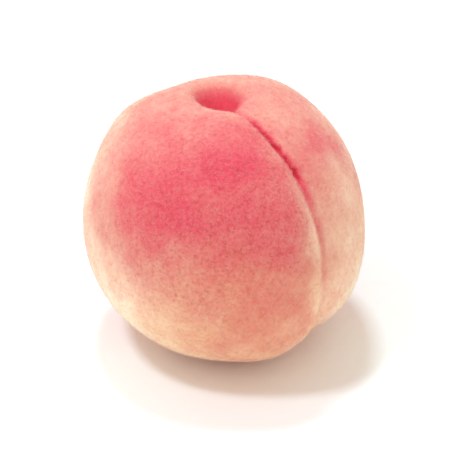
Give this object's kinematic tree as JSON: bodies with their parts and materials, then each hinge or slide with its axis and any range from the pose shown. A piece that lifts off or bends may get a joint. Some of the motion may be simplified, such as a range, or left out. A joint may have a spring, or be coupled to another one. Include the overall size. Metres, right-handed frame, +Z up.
{
  "type": "peach",
  "caption": "Whole ripe peach with a downy blushed skin, a deep stem cavity, a suture groove down one side and a small flat resting spot.",
  "frame": {"origin": "on the flat resting spot, straight below the middle of the fruit", "axes": "+Z up from the resting spot to the stem cavity, -Y the front with the blushed front lobe, +X to the right as seen from the front; the suture runs down the front right, about 45 degrees from the front"},
  "size_m": [0.074, 0.0734, 0.0699],
  "materials": {
    "downy_skin": "velvety matt, rose red blush fading to cream yellow at the base"
  },
  "bodies": {
    "root": {"peach": "downy_skin"}
  },
  "joints": []
}
